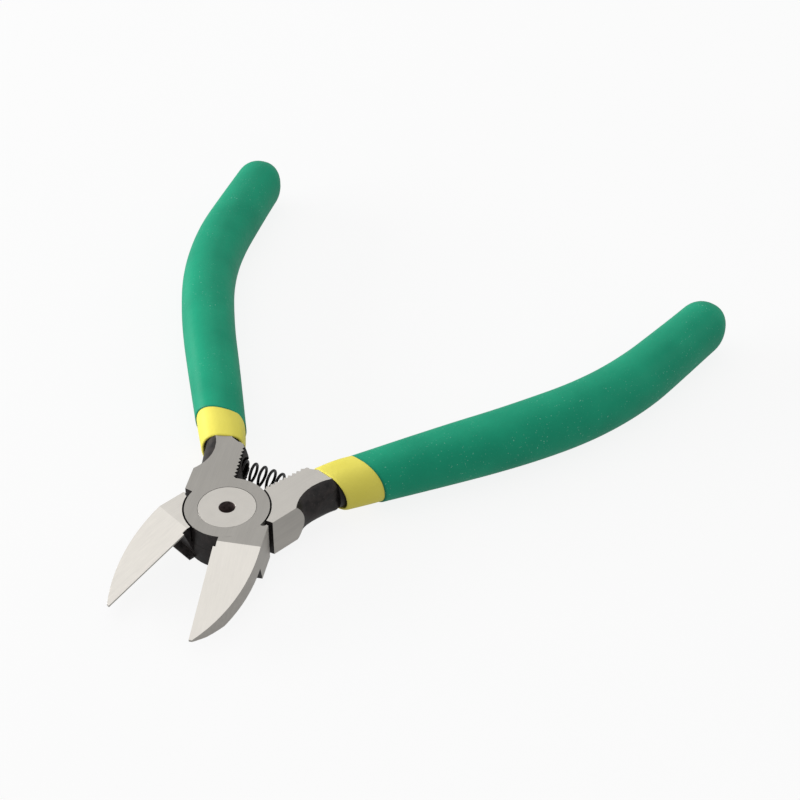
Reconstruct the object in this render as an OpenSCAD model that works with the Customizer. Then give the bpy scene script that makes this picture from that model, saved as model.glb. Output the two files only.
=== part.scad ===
// Lap-joint flush cutter, 125 mm closed, drawn half open.
// X runs along the tool from the pivot towards the grips, Y across it towards the
// upper lever's grip, and Z up out of the flat back of the joint. The pivot axis is X = Y = 0.
// Each lever is drawn closed, on its own side of the X axis, and then swung open.

/* [Joint] */
// Thickness of the joint between its two flat faces
joint_t = 7.1; // [6:0.1:8]
// Radius of the round boss that each lever turns on
boss_r = 7; // [6.6:0.1:7.3]
// Gap between a boss and the hollow wall of the other lever
boss_gap = 0.3; // [0.1:0.05:0.4]
// Gap between the two bosses where they lie on each other
lap_gap = 0.04; // [0.02:0.01:0.1]
// Angle that each lever stands open from closed
open_half = 17.9; // [10:0.1:20]

/* [Rivet] */
// Radius of the rivet's flush heads
head_r = 4.8; // [4:0.1:5.2]
// Thickness of each head
head_t = 1.6; // [1.2:0.1:2]
// Radius of the shank
shank_r = 2.6; // [2:0.1:3]
// Running gap around the shank and the upper head
run_gap = 0.04; // [0.02:0.01:0.08]
// Radius of the blind hole in the upper head
hole_r = 1.35; // [1:0.05:1.6]
// Depth of the blind hole
hole_d = 3.2; // [1:0.1:4]

/* [Jaws] */
// Distance from the pivot to the tips
jaw_l = 24.45; // [22:0.05:27]
// Width of one jaw where it leaves the joint
jaw_w = 7.65; // [7:0.05:8.2]
// Width of one jaw at its tip
tip_w = 0.55; // [0.4:0.05:1]
// Distance from the pivot to the front of the joint's full thickness
front_x = 7.9; // [7.5:0.1:8.4]
// Slope of the flush face down towards the tips
face_slope = 19; // [12:0.5:20]
// Slope of the underside of the blades
under_slope = 14.7; // [8:0.1:16]
// Distance from the pivot to where the cutting edge starts
edge_x = 8.9; // [8.5:0.1:10]
// Gap left between a root and the tool's axis, behind the cutting edge
root_gap = 0.45; // [0.3:0.05:0.6]
// Gap left between a cutting edge and the tool's axis when closed
edge_gap = 0.02; // [0.01:0.01:0.05]
// Depth of the narrow land under the cutting edge
land = 0.3; // [0.2:0.05:0.5]
// Angle between the flush face and the bevel behind the edge
bevel = 40; // [30:1:50]

/* [Shoulders] */
// Half width of the shoulders behind the joint
shoulder_w = 7.9; // [7.4:0.1:8.2]
// Angle of the shoulder's stop face from the tool's axis
stop_a = 69; // [66:0.5:71]
// Radius of the relief where a jaw's back meets the boss
relief_r = 0.6; // [0.3:0.05:0.8]
// Number of teeth on the inner edge
teeth = 9; // [5:1:12]
// Depth of the teeth
tooth_d = 0.45; // [0.2:0.05:0.6]
// How near the forged inner wall comes to the tool's axis at mid height, when closed
belly_y = 0.12; // [0.08:0.02:0.4]

/* [Handles] */
// Half width of the forged bar at the grip's mouth
bar_w = 3.05; // [2.6:0.05:3.2]
// Half height of the forged bar at the grip's mouth
bar_h = 3.35; // [3:0.05:3.5]
// Distance from the pivot to the mouth of the yellow coat
mouth_x = 16.85; // [16.5:0.05:17.5]
// Distance from the pivot to the edge of the green coat
dip_x = 23.2; // [21:0.1:26]
// Half width of the green grip at its fullest
grip_w = 4.9; // [4.5:0.05:5.3]
// Half height of the green grip at its fullest
grip_h = 5.55; // [5:0.05:6]
// Length of the handle's centre line from the mouth to the rounded end
handle_l = 81; // [75:0.1:86]

/* [Spring] */
// Distance from the pivot to the spring's middle
spring_x = 11.7; // [11.3:0.1:12.1]
// Mean radius of the coils
coil_r = 2.05; // [1.8:0.05:2.1]
// Radius of the wire
wire_r = 0.25; // [0.15:0.01:0.3]
// Number of turns
turns = 7; // [5:0.5:9]
// Radius of the pocket that holds each end
pocket_r = 2.6; // [2.5:0.05:2.8]
// Depth of the pocket under the teeth
pocket_d = 1.9; // [1.5:0.1:2.2]

/* [Hidden] */
steel = "silver";
mid_z = joint_t / 2;
upper = 1;
lower = -1;
$fn = 96;

// Handle: a centre line that leaves the shoulder, bows out and comes back in.
// Distance along it is counted from the mouth of the grip.
turn_in = [[-9, 4], [-4, 6], [4, 19.8], [28, 20], [43, 14.8], [66, -6], [86, -7.5]];
mouth = [17.2, 5.5];
step = 0.5;
back_steps = 18;
function heading(u) = lookup(u, turn_in);
function walk(n, dir) =
    [for (i = 0, p = mouth; i <= n;
          p = p + dir * step * [cos(heading(dir * (i + 0.5) * step)),
                                sin(heading(dir * (i + 0.5) * step))],
          i = i + 1) p];
ahead = walk(2 * (handle_l + 8), 1);
behind = walk(back_steps, -1);
function centre(u) =
    let (k = abs(u) / step, i = floor(k), line = u < 0 ? behind : ahead)
    line[i] + (k - i) * (line[min(i + 1, len(line) - 1)] - line[i]);

// Half widths along the handle, and a rounded end of length r past length l
dome = 1.25;
function round_end(u, l, r) = u <= l ? r : r * sqrt(max(0, 1 - pow((u - l) / r, 2)));
function green_w(u) = lookup(u, [[0, 0.84], [12, 0.9], [22, 0.95], [36, 0.99], [48, 1],
                                 [62, 0.98], [80, 0.91]]) * grip_w;
function green_h(u) = lookup(u, [[0, 0.72], [7, 0.78], [16, 0.87], [26, 0.95], [40, 1],
                                 [62, 0.98], [80, 0.91]]) * grip_h;
function yellow_w(u) = lookup(u, [[-1, 0.73], [3, 0.81], [7, 0.84], [80, 0.78]]) * grip_w;
function yellow_h(u) = lookup(u, [[-1, 0.68], [3, 0.73], [7, 0.76], [80, 0.76]]) * grip_h;
function bar_hw(u) = lookup(u, [[-9, 1], [6, 1], [30, 0.85], [76, 0.7]]) * bar_w;
function bar_hh(u) = lookup(u, [[-9, 1], [6, 1], [30, 0.9], [76, 0.75]]) * bar_h;

// One cross-section: a slightly squared oval of half width a and half height b
squareness = 2.25;
function oval(a, b, sides, inner) =
    [for (i = [0:sides - 1])
        let (t = 360 * (i + 0.5) / sides, c = cos(t), s = sin(t), p = 2 / (c < 0 ? inner : squareness))
        [a * sign(c) * pow(abs(c), p), b * sign(s) * pow(abs(s), p)]];
function ring(u, a, b, sides, inner = squareness) =
    let (c = centre(u), h = heading(u))
    [for (q = oval(a, b, sides, inner)) [c[0] - q[0] * sin(h), c[1] + q[0] * cos(h), mid_z + q[1]]];

// Joins rings of equal count into a closed solid
module tube(rings) {
    n = len(rings[0]);
    m = len(rings);
    pts = [for (r = rings) for (p = r) p];
    walls = [for (j = [0:m - 2]) for (i = [0:n - 1]) for (k = [0, 1])
        let (a = j * n + i, b = j * n + (i + 1) % n)
        k == 0 ? [a, b, b + n] : [a, b + n, a + n]];
    ends = [[for (i = [n - 1:-1:0]) i], [for (i = [0:n - 1]) (m - 1) * n + i]];
    polyhedron(points = pts, faces = [for (f = concat(walls, ends)) [for (k = [len(f) - 1:-1:0]) f[k]]]);
}

module green_body(sides = 20) {
    r = dome * green_w(handle_l);
    stations = concat([for (u = [3:3:handle_l - 1]) u], [for (t = [0:15:75]) handle_l + r * sin(t)],
                      [handle_l + r * 0.995]);
    tube([for (u = stations) let (f = round_end(u, handle_l, r) / r)
        ring(u, f * green_w(u), f * green_h(u), sides)]);
}

module yellow_body(sides = 20) {
    l = handle_l - 2;
    r = yellow_w(l);
    stations = concat([-4], [for (u = [-1.5:1.5:6]) u], [for (u = [9:5:l - 3]) u],
                      [for (t = [0:20:80]) l + r * sin(t)]);
    tube([for (u = stations) let (f = round_end(u, l, r) / r)
        ring(u, f * yellow_w(u), f * yellow_h(u), sides, lookup(u, [[-1, 3.6], [7, squareness]]))]);
}

module bar_body(sides = 16) {
    stations = concat([for (u = [0.6:1.5:6.6]) u], [for (u = [10:5:75]) u]);
    tube([for (u = stations) ring(u, bar_hw(u), bar_hh(u), sides)]);
}

// Forged neck, as rings across X: the ground flat's outer edge at y_edge, and its bulge at y_side
y_edge = [[7.2, 9.2], [8.05, 7.9], [8.6, 7.41], [9.2, 6.97], [10, 6.5], [11, 6.09], [12, 5.83],
          [13.4, 5.7], [15, 5.87], [16, 6.16], [16.9, 6.55], [17.8, 6.3], [18.6, 6]];
y_side = [[7.2, 10.6], [8.05, 9.3], [8.6, 8.6], [9.2, 8.15], [10, 7.75], [11, 7.72], [12, 7.85],
          [13.4, 8.05], [15, 8.25], [16, 8.38], [16.9, 8.48], [17.8, 8.1], [18.6, 7.7]];
function neck_ring(x) =
    let (e = lookup(x, y_edge), c = e - 0.6, a = lookup(x, y_side) - c, from = acos(0.6 / a),
         b = mid_z / sin(from), n = 14)
    concat([for (i = [0:n]) let (t = from * (2 * i / n - 1)) [x, c + a * cos(t), mid_z + b * sin(t)]],
           [[x, e - 1.5, mid_z + 5], [x, -1, mid_z + 5], [x, -1, mid_z - 5], [x, e - 1.5, mid_z - 5]]);
module neck() {
    tube([for (x = [7.2, 7.6, 8.05, 8.3, 8.6, 8.9, 9.2, 9.6, 10, 10.5, 11, 12, 12.7, 13.4, 14.2, 15, 16,
                    16.9, 17.8, 18.6]) neck_ring(x)]);
}

// Outline of one jaw, on the +Y side of the axis
module jaw_plan() {
    arc_x = front_x - 0.4;
    arc_l = jaw_l - arc_x;
    arc_h = jaw_w - tip_w;
    arc_r = (arc_l * arc_l + arc_h * arc_h) / (2 * arc_h);
    back_a = stop_a;
    back = (jaw_w / sin(back_a)) * [-cos(back_a), sin(back_a)];
    difference() {
        polygon([[-1, root_gap], [-edge_x, root_gap], [-edge_x, 3], [-arc_x, jaw_w], back, 0.5 * back]);
        translate((boss_r + 0.2) * [-cos(back_a), sin(back_a)]) circle(r = relief_r);
    }
    intersection() {
        translate([-arc_x, jaw_w - arc_r]) circle(r = arc_r, $fn = 256);
        translate([-jaw_l, edge_gap]) square([jaw_l - edge_x + 0.01, jaw_w]);
    }
    intersection() {
        translate([-arc_x, jaw_w - arc_r]) circle(r = arc_r, $fn = 256);
        translate([-edge_x - 0.5, root_gap]) square([edge_x + 0.5 - arc_x, jaw_w]);
    }
}

// Side view of the jaw: thick at the joint, then a blade with a sloping flush face
module jaw_side() {
    face_drop = (jaw_l + 1 - front_x) * tan(face_slope);
    blade_x = front_x + 0.9;
    low_x = 19.5;
    low_z = 0.25;
    blade_z = low_z + (low_x - blade_x) * tan(under_slope);
    polygon([[1, 0], [1, joint_t], [-front_x, joint_t], [-jaw_l - 1, joint_t - face_drop],
             [-jaw_l - 1, 1.3], [-low_x - 3, low_z + 0.2], [-low_x, low_z], [-blade_x, blade_z], [-front_x - 0.1, 0]]);
}

// The wedge that is ground away behind the cutting edge
module bevel_cut() {
    depth = 6;
    translate([-front_x, 0, joint_t]) rotate([0, -face_slope, 0])
        translate([-edge_x + front_x - 20, 0, 0]) rotate([90, 0, 90])
            linear_extrude(height = 20)
                polygon([[-2, -land], [edge_gap, -land], [edge_gap + depth / tan(bevel), -land - depth],
                         [-2, -land - depth]]);
}

module jaw() {
    difference() {
        intersection() {
            linear_extrude(height = joint_t) jaw_plan();
            rotate([90, 0, 0]) translate([0, 0, -jaw_w - 1]) linear_extrude(height = jaw_w + 2) jaw_side();
        }
        bevel_cut();
    }
}

// Ground block behind the joint, on the +Y side, with the toothed inner edge.
// More has been ground off the lower lever's edge.
module tang_plan(side) {
    inner_a = [7, side > 0 ? 0.4 : 0.5];
    inner_b = [14.8, side > 0 ? 0.8 : 1.25];
    pitch = (inner_b - inner_a) / teeth;
    stop = (shoulder_w / sin(stop_a)) * [cos(stop_a), sin(stop_a)];
    polygon(concat([[2, 0.4], 0.5 * stop, stop, [18.5, shoulder_w], [18.5, 4.6], [16.8, 3.5],
                    [15.65, 1.9], inner_b],
                   [for (i = [teeth - 1:-1:0]) for (k = [0.5, 0])
                       inner_a + (i + k) * pitch + [0, k > 0 ? tooth_d : 0]]));
}

// Forged inner wall, which bulges towards mid height behind the teeth
module belly(side) {
    near = side > 0 ? belly_y : belly_y + 0.5;
    sag = 1;
    r = (mid_z * mid_z + sag * sag) / (2 * sag);
    intersection() {
        translate([6.5, near + r, mid_z]) rotate([0, 90, 0]) cylinder(r = r, h = 10);
        linear_extrude(height = joint_t) polygon([[6.5, 0], [14.6, 0], [15.9, 1.9], [15.9, 3], [6.5, 3]]);
    }
}

// Where the spring's end sits in the closed lever
pocket_at = let (p = [spring_x - 0.23, 4.8])
    [p[0] * cos(open_half) + p[1] * sin(open_half), -p[0] * sin(open_half) + p[1] * cos(open_half)];

module tang(side) {
    difference() {
        union() {
            intersection() {
                linear_extrude(height = joint_t) tang_plan(side);
                union() {
                    translate([-5, -5, -5]) cube([12.3, 20, 20]);
                    neck();
                }
            }
            belly(side);
            bar_body();
        }
        translate([pocket_at[0], -0.5, mid_z]) rotate([-90, 0, 0])
            cylinder(r = pocket_r, h = pocket_at[1] + pocket_d + 0.5);
    }
}

// Puts a shape that is drawn on the +Y side on the given lever, and swings it open
module swing(side) {
    rotate([0, 0, side * open_half]) mirror([0, side < 0 ? 1 : 0, 0]) children();
}

module lever(side) {
    low = side > 0 ? mid_z + lap_gap / 2 : 0;
    high = side > 0 ? joint_t : mid_z - lap_gap / 2;
    difference() {
        union() {
            difference() {
                union() {
                    swing(side) tang(side);
                    swing(side) mirror([0, 1, 0]) jaw();
                }
                translate([0, 0, side > 0 ? -1 : high]) cylinder(r = boss_r + boss_gap, h = joint_t - high + low + 1);
            }
            translate([0, 0, low]) cylinder(r = boss_r, h = high - low);
        }
        gap = side > 0 ? run_gap : 0;
        translate([0, 0, -1]) cylinder(r = shank_r + gap, h = joint_t + 2);
        translate([0, 0, side > 0 ? joint_t - head_t - gap : -1])
            cylinder(r = head_r + gap, h = head_t + gap + 1);
    }
}

module upper_lever() color(steel) lever(upper);
module lower_lever() color(steel) lever(lower);

module pivot_rivet() color("gainsboro") {
    difference() {
        union() {
            cylinder(r = shank_r, h = joint_t);
            cylinder(r = head_r, h = head_t);
            translate([0, 0, joint_t - head_t]) cylinder(r = head_r, h = head_t);
        }
        translate([0, 0, joint_t - hole_d]) cylinder(r = hole_r, h = hole_d + 1);
    }
}

// The spring: a coil on a slightly bowed line from pocket to pocket
spring_reach = 4.8 + pocket_d * cos(open_half) - 0.65;
spring_start = -60;
function coil(t) =
    let (w = spring_reach * (2 * t - 1), a = 360 * turns * t + spring_start, r = coil_r * cos(a), tilt = atan(0.02 * w))
    [spring_x - 0.01 * w * w + r * cos(tilt), w + r * sin(tilt), mid_z - coil_r * sin(a)];
function wire(t, sides) =
    let (q = coil(t + 0.001) - coil(t - 0.001), e = cross(q, [0, 1, 0]), e1 = e / norm(e),
         e2 = cross(q / norm(q), e1))
    [for (k = [0:sides - 1]) coil(t) + wire_r * (cos(360 * k / sides) * e1 + sin(360 * k / sides) * e2)];

module return_spring() color("dimgray") {
    n = turns * 16;
    tube([for (i = [0:n]) wire(i / n, 6)]);
}

// Keeps what lies ahead of a plane through [x, y], which leans by slope_y across and slope_z up
module ahead_of(x, y, slope_y, slope_z) {
    intersection() {
        children();
        translate([x, y, mid_z]) rotate([0, atan(slope_z), -atan(slope_y)])
            translate([0, -60, -40]) cube([200, 120, 80]);
    }
}

// The two handles are dipped by hand, so the edges of their coats don't lean alike
module undercoat(side) {
    difference() {
        swing(side)
            ahead_of(side > 0 ? mouth_x : mouth_x + 0.55, 5.5, side > 0 ? -0.12 : 0.09, side > 0 ? 0 : -0.13)
                yellow_body();
        swing(side) tang(side);
    }
}

module grip(side) {
    swing(side) difference() {
        ahead_of(side > 0 ? dip_x : dip_x + 0.3, 7.5, side > 0 ? 0.09 : 0.06, side > 0 ? 0 : -0.1)
            green_body();
        yellow_body();
    }
}

module upper_undercoat() color("khaki") undercoat(upper);
module lower_undercoat() color("khaki") undercoat(lower);
module upper_grip() color("seagreen") grip(upper);
module lower_grip() color("seagreen") grip(lower);

upper_lever();
lower_lever();
pivot_rivet();
return_spring();
upper_undercoat();
lower_undercoat();
upper_grip();
lower_grip();
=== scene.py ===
"""Looks for the flush cutter. Lengths are written in millimetres and scaled to metres."""
import math

import bmesh
import bpy
from mathutils import Matrix, Vector


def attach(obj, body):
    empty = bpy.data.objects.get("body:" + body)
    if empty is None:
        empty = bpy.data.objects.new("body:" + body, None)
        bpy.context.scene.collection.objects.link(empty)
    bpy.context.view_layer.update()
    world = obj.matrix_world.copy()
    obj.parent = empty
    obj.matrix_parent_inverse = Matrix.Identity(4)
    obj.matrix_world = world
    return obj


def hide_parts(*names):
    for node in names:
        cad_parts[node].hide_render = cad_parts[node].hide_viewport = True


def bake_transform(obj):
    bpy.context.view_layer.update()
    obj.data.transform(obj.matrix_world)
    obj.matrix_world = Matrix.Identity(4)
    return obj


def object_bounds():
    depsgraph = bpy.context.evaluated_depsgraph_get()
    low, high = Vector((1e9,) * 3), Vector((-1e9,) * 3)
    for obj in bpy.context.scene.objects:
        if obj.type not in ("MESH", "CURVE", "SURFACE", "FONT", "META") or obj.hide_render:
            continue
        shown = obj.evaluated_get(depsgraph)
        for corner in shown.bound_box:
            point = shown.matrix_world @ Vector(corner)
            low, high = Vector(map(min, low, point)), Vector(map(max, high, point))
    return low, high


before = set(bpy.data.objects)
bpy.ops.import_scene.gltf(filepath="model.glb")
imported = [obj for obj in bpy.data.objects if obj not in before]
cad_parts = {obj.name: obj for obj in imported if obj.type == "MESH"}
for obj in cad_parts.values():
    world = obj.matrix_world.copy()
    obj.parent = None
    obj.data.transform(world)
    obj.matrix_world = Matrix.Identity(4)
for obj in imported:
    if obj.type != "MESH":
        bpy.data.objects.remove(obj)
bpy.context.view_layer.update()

MM = 0.001
OPEN_HALF = math.radians(17.9)
MID_Z = 3.55
UPPER, LOWER = 1, -1
BODY = {UPPER: "upper_half", LOWER: "lower_half"}
NAME = {UPPER: "upper", LOWER: "lower"}

# ---------------------------------------------------------------- camera
# The view looks down at 40 degrees, with the tool's X axis 61 degrees round from the image's right.
VIEW_TURN = math.radians(-60.99)
camera_data = bpy.data.cameras.new("camera")
camera_data.lens = 89.28
camera_data.sensor_width = 36
camera_data.clip_start = 0.01
camera = bpy.data.objects.new("camera", camera_data)
camera.location = Vector((-191.9, -138.6, 228.9)) * MM
camera.rotation_euler = (math.radians(49.745), 0, VIEW_TURN)
bpy.context.scene.collection.objects.link(camera)
bpy.context.scene.camera = camera
AIM = Vector((40.8, -9.5, 3.55)) * MM


def from_view(right, away, up):
    """A point given by how far right, away and up it is from the point the camera looks at, in metres."""
    turn = Matrix.Rotation(VIEW_TURN, 3, "Z")
    return AIM + turn @ Vector((right, away, up))


# ---------------------------------------------------------------- node helpers
class Tree:
    """A short way to write shader nodes."""

    def __init__(self, name, **constants):
        self.material = bpy.data.materials.new(name)
        self.material.use_nodes = True
        self.nodes = self.material.node_tree.nodes
        self.links = self.material.node_tree.links
        self.shader = self.nodes["Principled BSDF"]
        for key, value in constants.items():
            self.shader.inputs[key.replace("_", " ")].default_value = value

    def add(self, kind, inputs=None, **settings):
        node = self.nodes.new("ShaderNode" + kind)
        for key, value in settings.items():
            setattr(node, key, value)
        for key, value in (inputs or {}).items():
            self.put(node.inputs[key], value)
        return node

    def put(self, socket, value):
        if isinstance(value, bpy.types.NodeSocket):
            self.links.new(value, socket)
        else:
            socket.default_value = value

    def coords(self, scale=(1, 1, 1), turn=0.0):
        """Object coordinates in millimetres, turned about Z and then scaled."""
        place = self.add("TexCoord").outputs["Object"]
        turned = self.add("Mapping", {"Vector": place, "Rotation": (0, 0, turn)}).outputs[0]
        size = [1 / MM * s for s in scale]
        return self.add("Mapping", {"Vector": turned, "Scale": size}).outputs[0]

    def noise(self, vector, scale=1.0, detail=3.0, rough=0.55):
        node = self.add("TexNoise", {"Vector": vector, "Scale": scale, "Detail": detail,
                                     "Roughness": rough})
        return node.outputs["Fac"]

    def band(self, value, low, high, out_low=0.0, out_high=1.0):
        """The value stretched from low..high to out_low..out_high, and cut off beyond."""
        node = self.add("MapRange", {"Value": value, "From Min": low, "From Max": high,
                                     "To Min": out_low, "To Max": out_high})
        return node.outputs[0]

    def math(self, operation, a, b=0.0):
        return self.add("Math", {0: a, 1: b}, operation=operation).outputs[0]

    def mix(self, factor, a, b):
        node = self.add("Mix", data_type="RGBA")
        for socket, value in ((node.inputs[0], factor), (node.inputs[6], a), (node.inputs[7], b)):
            self.put(socket, value)
        return node.outputs[2]

    def bump(self, height, strength, distance):
        node = self.add("Bump", {"Height": height, "Strength": strength, "Distance": distance * MM})
        self.links.new(node.outputs[0], self.shader.inputs["Normal"])

    def colour(self, value):
        self.put(self.shader.inputs["Base Color"], value)

    def rough(self, value):
        self.put(self.shader.inputs["Roughness"], value)


WARMTH = 0.045


def grey(value):
    """A grey with the slightly warm cast of ground steel."""
    return (value * (1 + WARMTH), value, value * (1 - 1.6 * WARMTH), 1)


def ground_steel(name, light, dark, turn, roughness=0.36, streak=5.0):
    """Steel ground along the tool, with fine and coarse streaks. turn is the lever's swing from closed."""
    t = Tree(name, Metallic=1.0)
    fine = t.noise(t.coords((0.12, streak, 1.0), turn), 1.0, 4.0, 0.6)
    coarse = t.noise(t.coords((0.04, 0.5, 0.3), turn), 1.0, 2.0)
    blotch = t.noise(t.coords(), 0.25, 3.0)
    tone = t.math("ADD", t.math("MULTIPLY", fine, 0.6), t.math("MULTIPLY", coarse, 0.25))
    tone = t.math("ADD", tone, t.math("MULTIPLY", blotch, 0.15))
    t.colour(t.mix(t.band(tone, 0.36, 0.64), grey(dark), grey(light)))
    t.rough(t.band(fine, 0.3, 0.7, roughness - 0.05, roughness + 0.06))
    t.bump(fine, 0.12, 0.02)
    return t.material


def black_oxide(name, lift=1.0):
    """Forged skin left dark, with scale and a few pale specks. lift makes the skin paler."""
    t = Tree(name, Metallic=0.35)
    skin = t.noise(t.coords(), 0.9, 5.0, 0.6)
    grain = t.noise(t.coords(), 5.0, 3.0)
    speck = t.band(t.noise(t.coords(), 3.1, 2.0), 0.68, 0.74)
    dark = t.mix(t.band(skin, 0.35, 0.7), (0.008 * lift, 0.007 * lift, 0.007 * lift, 1),
                 (0.036 * lift, 0.028 * lift, 0.027 * lift, 1))
    t.colour(t.mix(t.math("MULTIPLY", speck, 0.35), dark, (0.16, 0.15, 0.15, 1)))
    t.rough(t.band(skin, 0.3, 0.7, 0.34, 0.55))
    t.bump(t.math("ADD", skin, t.math("MULTIPLY", grain, 0.3)), 0.5, 0.10)
    return t.material


def concentric_steel(name, light, dark):
    """A turned rivet head: rings about the pivot axis."""
    t = Tree(name, Metallic=1.0)
    flat = t.add("VectorMath", {0: t.coords(), 1: (1, 1, 0)}, operation="MULTIPLY").outputs[0]
    radius = t.add("VectorMath", {0: flat}, operation="LENGTH").outputs["Value"]
    rings = t.add("TexNoise", {"W": radius, "Scale": 6.0, "Detail": 3.0}, noise_dimensions="1D").outputs[0]
    blotch = t.noise(t.coords(), 0.6, 3.0)
    tone = t.math("ADD", t.math("MULTIPLY", rings, 0.6), t.math("MULTIPLY", blotch, 0.4))
    t.colour(t.mix(t.band(tone, 0.35, 0.65), grey(dark), grey(light)))
    t.rough(t.band(rings, 0.3, 0.7, 0.33, 0.45))
    t.bump(rings, 0.15, 0.02)
    return t.material


def dipped(name, lit, deep, roughness, coat, dust_and_glints):
    """Dipped vinyl: faint orange peel, slow colour drift, painted shade along the lip, and pale specks in
    patches that are partly dust and partly painted glints.
    """
    t = Tree(name, Coat_Weight=coat, Coat_Roughness=0.3, Specular_IOR_Level=0.12)
    drift = t.noise(t.coords(), 0.12, 2.0)
    peel = t.noise(t.coords(), 1.3, 3.0, 0.5)
    base = t.mix(t.band(drift, 0.3, 0.7), deep, lit)
    # Painted shade: where the lip mark is set, the coat is darkened towards 0.4 of its deep colour, as shade
    # in the step at its edge.
    lip_and_shade = t.add("Attribute", attribute_name="lip_and_shade").outputs["Fac"]
    base = t.mix(t.math("MULTIPLY", lip_and_shade, 0.75), base, tuple(0.4 * c for c in deep[:3]) + (1,))
    # Pale green specks in patches: partly dust, partly painted glints that stand in for the orange peel
    # catching light.
    patch = t.band(t.noise(t.coords(), 0.08, 2.0), 0.45, 0.60)
    speck = t.math("MULTIPLY", t.band(t.noise(t.coords(), 3.2, 1.0), 0.70, 0.76), patch)
    t.colour(t.mix(t.math("MULTIPLY", speck, dust_and_glints), base, (0.50, 0.85, 0.72, 1)))
    t.rough(t.band(peel, 0.3, 0.7, roughness - 0.05, roughness + 0.06))
    grain = t.noise(t.coords(), 4.5, 2.0, 0.6)
    t.bump(t.math("ADD", peel, t.math("MULTIPLY", grain, 0.35)), 0.4, 0.10)
    return t.material


# Each lever's materials, in the order of the numbers that lever_material gives its faces
TOP, FACE, SIDE, BLACK, SHOULDER = range(5)
MATERIAL = {}
# The tops, jaw faces, side walls and lower shoulder are one ground steel in different greys, and the upper
# lever's tops are darker than the lower's: painted light and shade for how brightly each face catches the
# light.
for side in (UPPER, LOWER):
    turn = -side * OPEN_HALF
    tag = NAME[side]
    top = (0.375, 0.32) if side == UPPER else (0.55, 0.49)
    MATERIAL[side] = [
        ground_steel("ground_top_" + tag, *top, turn),
        ground_steel("ground_face_" + tag, 0.76, 0.70, turn, 0.38, 3.0),
        ground_steel("ground_side_" + tag, 0.62, 0.525, turn, 0.40, 4.0),
        black_oxide("forged_black_" + tag),
    ]
MATERIAL[LOWER].append(ground_steel("ground_shoulder", 0.67, 0.60, OPEN_HALF))
# The last number of each coat sets its pale specks: dust together with painted glints.
GREEN = dipped("green_dip", (0.011, 0.345, 0.193, 1), (0.007, 0.293, 0.165, 1), 0.46, 0.03, 0.50)
YELLOW = dipped("yellow_dip", (0.88, 0.785, 0.136, 1), (0.82, 0.730, 0.110, 1), 0.44, 0.03, 0.06)


# ---------------------------------------------------------------- handle shapes
def lookup(u, table):
    if u <= table[0][0]:
        return table[0][1]
    for (u0, v0), (u1, v1) in zip(table, table[1:]):
        if u <= u1:
            return v0 + (v1 - v0) * (u - u0) / (u1 - u0)
    return table[-1][1]


def eased(table, reach=3.0, samples=6):
    """The table's value averaged over a short stretch, which rounds off its corners."""
    steps = range(-samples, samples + 1)
    return lambda u: sum(lookup(u + reach * (k / samples), table) for k in steps) / len(steps)


# Heading of the handle's centre line in degrees, by its length from the mouth
TURN_IN = [(-9, 4), (-4, 6), (4, 19.8), (28, 20), (43, 14.8), (66, -6), (86, -7.5)]
MOUTH = (17.2, 5.5)
STEP = 0.5
HANDLE_L = 81
COLLAR_L = HANDLE_L - 2
# How much longer than a half circle the rounded end is
DOME = 1.25
GRIP_W, GRIP_H = 4.9, 5.55
# Power of the coats' oval section, and of its inner side near the mouth
SQUARENESS = 2.25
MOUTH_SQUARENESS = [(-1, 3.6), (7, SQUARENESS)]
# The edge of each coat: X on the handle's axis at Y, and how far it leans across and up
GREEN_EDGE = {UPPER: (23.2, 7.5, 0.09, 0.0), LOWER: (23.5, 7.5, 0.06, -0.1)}
YELLOW_EDGE = {UPPER: (16.85, 5.5, -0.12, 0.0), LOWER: (17.4, 5.5, 0.09, -0.13)}

# Half width and half height of each coat along the handle, as shares of GRIP_W and GRIP_H
green_w = eased([(0, 0.84), (12, 0.9), (22, 0.95), (36, 0.99), (48, 1), (62, 0.98), (80, 0.91)])
green_h = eased([(0, 0.72), (7, 0.78), (16, 0.87), (26, 0.95), (40, 1), (62, 0.98), (80, 0.91)])
yellow_w = eased([(-1, 0.73), (3, 0.81), (7, 0.84), (80, 0.78)], 1.0)
yellow_h = eased([(-1, 0.68), (3, 0.73), (7, 0.76), (80, 0.76)], 1.0)


def centre(u):
    """A point on the handle's centre line, u millimetres from the mouth."""
    x, y = MOUTH
    way = 1 if u > 0 else -1
    whole = int(abs(u) / STEP)
    for i in range(whole + 1):
        part = STEP if i < whole else abs(u) - whole * STEP
        a = math.radians(lookup(way * (i + 0.5) * STEP, TURN_IN))
        x += way * part * math.cos(a)
        y += way * part * math.sin(a)
    return x, y


def round_end(u, length, r):
    """How much of the full section is left at u, on an end that is r long past length."""
    return 1.0 if u <= length else math.sqrt(max(0.0, 1 - ((u - length) / r) ** 2))


def oval(angle, a, b, inner):
    """A point of the squarish oval a wide and b high. inner is the power on its inner side."""
    c, s = math.cos(angle), math.sin(angle)
    power = 2 / (inner if c < 0 else SQUARENESS)
    return a * math.copysign(abs(c) ** power, c), b * math.copysign(abs(s) ** power, s)


def on_ring(u, angle, a, b, inner=SQUARENESS):
    """A point of the section at u, on the closed lever's +Y side."""
    x, y = centre(u)
    h = math.radians(lookup(u, TURN_IN))
    across, up = oval(angle, a, b, inner)
    return Vector((x - across * math.sin(h), y + across * math.cos(h), MID_Z + up))


def opened(point, side):
    """A point drawn on the closed lever's +Y side, put on the given lever as it stands half open."""
    return Matrix.Rotation(side * OPEN_HALF, 3, "Z") @ Vector((point.x, side * point.y, point.z)) * MM


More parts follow.
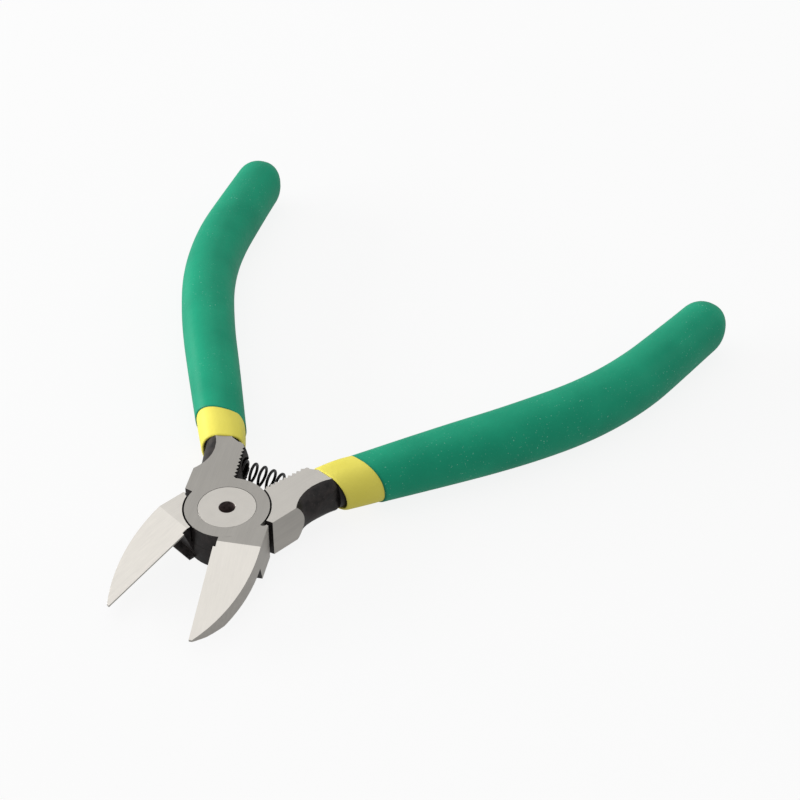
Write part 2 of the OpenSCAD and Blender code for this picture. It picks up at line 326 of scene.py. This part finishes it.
def new_piece(name, vertices, faces, body, node, slot, material, side=UPPER, attributes=None):
    """A smooth piece that replaces a CAD node. body is None for a piece that is attached to no body."""
    if side == LOWER:
        faces = [tuple(reversed(f)) for f in faces]
    mesh = bpy.data.meshes.new(name)
    mesh.from_pydata([tuple(v) for v in vertices], [], faces)
    for key, values in (attributes or {}).items():
        mesh.attributes.new(key, "FLOAT", "POINT").data.foreach_set("value", values)
    mesh.polygons.foreach_set("use_smooth", [True] * len(mesh.polygons))
    mesh.materials.append(material)
    mesh.validate()
    piece = bpy.data.objects.new(name, mesh)
    bpy.context.scene.collection.objects.link(piece)
    if body:
        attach(piece, body)
    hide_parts(node)
    return piece


SIDES = 64


def skin(rings):
    """Faces between rings of SIDES points each, closed flat at the start and with a fan at the end."""
    faces = []
    for j in range(len(rings) - 1):
        for i in range(SIDES):
            k = (i + 1) % SIDES
            faces.append((j * SIDES + i, j * SIDES + k, (j + 1) * SIDES + k, (j + 1) * SIDES + i))
    faces.append(tuple(range(SIDES - 1, -1, -1)))
    last = (len(rings) - 1) * SIDES
    faces += [(last + i, last + (i + 1) % SIDES, last + SIDES) for i in range(SIDES)]
    return faces


def solve(function, low, high):
    """Where a rising function crosses zero."""
    for _ in range(40):
        mid = (low + high) / 2
        if function(mid) < 0:
            low = mid
        else:
            high = mid
    return (low + high) / 2


# Stretch of the centre line that holds every edge, and the rings from a slanted edge to a straight section
EDGE_SEARCH = (-8, 22)
STRAIGHTEN = 8


def sweep(edge, first, length, width, height, inner, lip_and_shade):
    """Rings from a coat's edge to its rounded end, the end point, and a painted shade mark for each point.

    The lip argument lists (distance behind the edge, shrink, painted shade) from the coat's inside out over
    its lip.
    """
    angles = [2 * math.pi * (i + 0.5) / SIDES for i in range(SIDES)]
    edge_x, edge_y, across, up = edge

    def at(u, a, shrink=0.0):
        return on_ring(u, a, width(u) - shrink, height(u) - shrink, inner(u))

    def beyond(p, back):
        return p.x - back - edge_x - across * (p.y - edge_y) - up * (p.z - MID_Z)

    rings, shade_marks = [], []
    for back, shrink, shade_mark in lip_and_shade:
        cuts = [solve(lambda u: beyond(at(u, a, shrink), back), *EDGE_SEARCH) for a in angles]
        rings.append([at(cut, a, shrink) for cut, a in zip(cuts, angles)])
        shade_marks.append(shade_mark)
    for k in range(1, STRAIGHTEN):
        rings.append([at(c + (first - c) * k / STRAIGHTEN, a) for a, c in zip(angles, cuts)])
        shade_marks.append(0.0)
    r = DOME * width(length)
    stations = [first + k for k in range(int(length - first))]
    stations += [length + r * math.sin(math.radians(t)) for t in [*range(0, 84, 6), 82, 85, 87.5, 89]]
    for u in stations:
        f = round_end(u, length, r)
        rings.append([on_ring(u, a, width(u) * f, height(u) * f, inner(u)) for a in angles])
        shade_marks.append(0.0)
    x, y = centre(length + r)
    return rings, Vector((x, y, MID_Z)), [m for m in shade_marks for _ in range(SIDES)] + [0.0]


# The green coat ends in a lip over the yellow one, and the yellow one in a lip round the forging
# The last number of each row is painted shade: it darkens the green lip and the inside of the yellow mouth
# round the steel.
GREEN_RIM = [(0.75, 0.30, 0.6), (0.25, 0.28, 0.9), (0.03, 0.24, 1.0), (0.0, 0.16, 1.0), (0.03, 0.08, 0.9),
             (0.12, 0.02, 0.6), (0.25, 0.0, 0.2), (0.5, 0.0, 0.0)]
YELLOW_RIM = [(1.6, 0.75, 1.0), (0.35, 0.55, 1.0), (0.08, 0.40, 0.4), (0.0, 0.28, 0.1), (0.05, 0.12, 0.0),
              (0.18, 0.03, 0.0), (0.4, 0.0, 0.0)]
for side in (UPPER, LOWER):
    green = sweep(GREEN_EDGE[side], 14, HANDLE_L, lambda u: GRIP_W * green_w(u),
                  lambda u: GRIP_H * green_h(u), lambda u: SQUARENESS, GREEN_RIM)
    yellow = sweep(YELLOW_EDGE[side], 10, COLLAR_L, lambda u: GRIP_W * yellow_w(u),
                   lambda u: GRIP_H * yellow_h(u), lambda u: lookup(u, MOUTH_SQUARENESS), YELLOW_RIM)
    for label, node, (rings, tip, shade_marks), slot, material in (
            ("grip_sleeve", "grip", green, "grip", GREEN),
            ("collar_coat", "undercoat", yellow, "undercoat", YELLOW)):
        points = [opened(p, side) for ring in rings for p in ring] + [opened(tip, side)]
        new_piece(f"{NAME[side]}_{label}", points, [tuple(reversed(f)) for f in skin(rings)], BODY[side],
                  f"{NAME[side]}_{node}", slot, material, side, {"lip_and_shade": shade_marks})


# ---------------------------------------------------------------- levers and rivet
BEVEL = 0.07
SHARP = math.radians(28)


def forged_copy(node_name, name, materials, choose, body):
    """A bevelled copy of a CAD node's mesh, with a material for each face."""
    mesh = bpy.data.meshes.new(name)
    bm = bmesh.new()
    bm.from_mesh(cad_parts[node_name].data)
    bmesh.ops.remove_doubles(bm, verts=bm.verts, dist=0.002 * MM)
    bmesh.ops.dissolve_degenerate(bm, dist=0.001 * MM, edges=bm.edges)
    bmesh.ops.dissolve_limit(bm, angle_limit=math.radians(0.6), verts=bm.verts, edges=bm.edges,
                             delimit={"NORMAL"})
    bmesh.ops.recalc_face_normals(bm, faces=bm.faces)
    for f in bm.faces:
        f.smooth = True
        f.material_index = choose(f.calc_center_median() / MM, f.normal)
    for e in bm.edges:
        same = len({f.material_index for f in e.link_faces}) == 1
        e.smooth = e.is_manifold and same and e.calc_face_angle() < SHARP
    bm.to_mesh(mesh)
    bm.free()
    piece = bpy.data.objects.new(name, mesh)
    bpy.context.scene.collection.objects.link(piece)
    for material in materials:
        mesh.materials.append(material)
    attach(piece, body)
    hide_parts(node_name)
    bevel = piece.modifiers.new("edges", "BEVEL")
    bevel.width = BEVEL * MM
    bevel.segments = 2
    bevel.limit_method = "ANGLE"
    bevel.angle_limit = math.radians(30)
    bevel.harden_normals = True


def lever_material(side):
    """Which material each face of a lever gets, from where it lies and faces on the closed lever. The ground
    steel greys it picks between are painted light and shade.
    """
    back = Matrix.Rotation(-side * OPEN_HALF, 3, "Z")

    def choose(centre_mm, normal):
        p, n = back @ centre_mm, back @ normal
        x, y, across = p.x, side * p.y, side * n.y
        if (n.z > 0.999 and p.z > 7.0) or (n.z < -0.999 and p.z < 0.05):
            return SHOULDER if side == LOWER and x < -3 and n.z > 0 else TOP
        if n.z > 0.9 and x < -7.5:
            return FACE
        if x < 1 and across < -0.3 and abs(n.z) < 0.5:
            return SIDE
        if x < -9.5:
            return SIDE
        if across > 0.999 and y > 7.85 and x < 8.5:
            return SIDE
        return BLACK
    return choose


def rivet_material(centre_mm, normal):
    """1 in the blind hole and 0 elsewhere."""
    radius = math.hypot(centre_mm.x, centre_mm.y)
    return 1 if radius < 1.4 and centre_mm.z > 1 and (abs(normal.z) < 0.5 or centre_mm.z < 6) else 0


for side in (UPPER, LOWER):
    forged_copy(NAME[side] + "_lever", NAME[side] + "_forging", MATERIAL[side], lever_material(side),
                BODY[side])
RIVET = [concentric_steel("rivet_head", 0.585, 0.54), black_oxide("rivet_hole", 9.0)]
forged_copy("pivot_rivet", "rivet_turned", RIVET, rivet_material, BODY[LOWER])

# ---------------------------------------------------------------- spring
SPRING_X, COIL_R, WIRE_R, TURNS, POCKET_D = 11.7, 2.05, 0.25, 7, 1.9
# Half the spring's length, which ends just short of the floor of each pocket
REACH = 4.8 + POCKET_D * math.cos(OPEN_HALF) - 0.65
SPRING_START = math.radians(-60)
WIRE_SIDES = 14
RINGS_PER_TURN = 40


def coil(t):
    """The wire's centre at t from 0 to 1. The coil bows outwards a little, as it does between open levers."""
    w = REACH * (2 * t - 1)
    a = 2 * math.pi * TURNS * t + SPRING_START
    tilt = math.atan(0.02 * w)
    r = COIL_R * math.cos(a)
    x = SPRING_X - 0.01 * w * w + r * math.cos(tilt)
    return Vector((x, w + r * math.sin(tilt), MID_Z - COIL_R * math.sin(a)))


wire = []
count = TURNS * RINGS_PER_TURN
for i in range(count + 1):
    t = i / count
    tangent = (coil(t + 0.0005) - coil(t - 0.0005)).normalized()
    e1 = tangent.cross(Vector((0, 1, 0))).normalized()
    e2 = e1.cross(tangent)
    for k in range(WIRE_SIDES):
        angle = 2 * math.pi * k / WIRE_SIDES
        wire.append((coil(t) + WIRE_R * (math.cos(angle) * e1 + math.sin(angle) * e2)) * MM)
faces = [(j * WIRE_SIDES + i, j * WIRE_SIDES + (i + 1) % WIRE_SIDES,
          (j + 1) * WIRE_SIDES + (i + 1) % WIRE_SIDES, (j + 1) * WIRE_SIDES + i)
         for j in range(count) for i in range(WIRE_SIDES)]
faces += [tuple(range(WIRE_SIDES - 1, -1, -1)), tuple(range(count * WIRE_SIDES, (count + 1) * WIRE_SIDES))]
wire_look = Tree("blued_wire", Metallic=0.8)
wire_noise = wire_look.noise(wire_look.coords(), 2.0, 3.0)
wire_look.colour(wire_look.mix(wire_noise, (0.004, 0.004, 0.005, 1), (0.018, 0.017, 0.017, 1)))
wire_look.rough(wire_look.band(wire_noise, 0.3, 0.7, 0.22, 0.36))
spring = new_piece("spring_coil", wire, faces, None, "return_spring", "spring", wire_look.material)
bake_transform(spring)

# ---------------------------------------------------------------- floor and light
floor_z = min(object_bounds()[0].z, 0)
FLOOR_SIZE = 4
bpy.ops.mesh.primitive_plane_add(size=FLOOR_SIZE, location=(AIM.x, AIM.y, floor_z))
floor = bpy.context.object
floor.name = "floor"
# Backlit paper: it glows, so that it is nearly white with faint shadows, and lights nothing else
paper = Tree("paper", Specular_IOR_Level=0.0, Roughness=0.9, Emission_Strength=0.865)
paper_noise = paper.noise(paper.coords(), 0.02, 2.0)
paper.colour(paper.mix(paper_noise, (0.105, 0.105, 0.105, 1), (0.115, 0.115, 0.115, 1)))
paper.put(paper.shader.inputs["Emission Color"], (1, 1, 1, 1))
floor.data.materials.append(paper.material)
floor.visible_diffuse = False
floor.visible_glossy = False


def softbox(name, place, size, radiance):
    """A rectangular light of the given size in metres, aimed at the tool."""
    data = bpy.data.lights.new(name, "AREA")
    data.shape = "RECTANGLE"
    data.size, data.size_y = size
    data.energy = radiance * math.pi * size[0] * size[1]
    light = bpy.data.objects.new(name, data)
    light.location = place
    light.rotation_euler = (AIM - place).to_track_quat("-Z", "Y").to_euler()
    bpy.context.scene.collection.objects.link(light)


softbox("overhead", from_view(-0.2, 0.2, 1.0), (1.3, 1.3), 0.60)
softbox("back", from_view(0.0, 0.9, 0.6), (1.4, 0.7), 0.31)
softbox("left", from_view(-1.0, 0.1, 0.22), (1.0, 0.36), 9.5)
softbox("right", from_view(0.9, 0.1, 0.45), (0.9, 0.6), 0.63)
softbox("front", from_view(0.0, -0.9, 0.5), (1.2, 0.6), 0.12)
world = bpy.data.worlds.new("studio")
bpy.context.scene.world = world
world.use_nodes = True
background = world.node_tree.nodes["Background"]
background.inputs["Color"].default_value = (1, 1, 1, 1)
background.inputs["Strength"].default_value = 0.45
bpy.context.scene.view_settings.view_transform = "Standard"
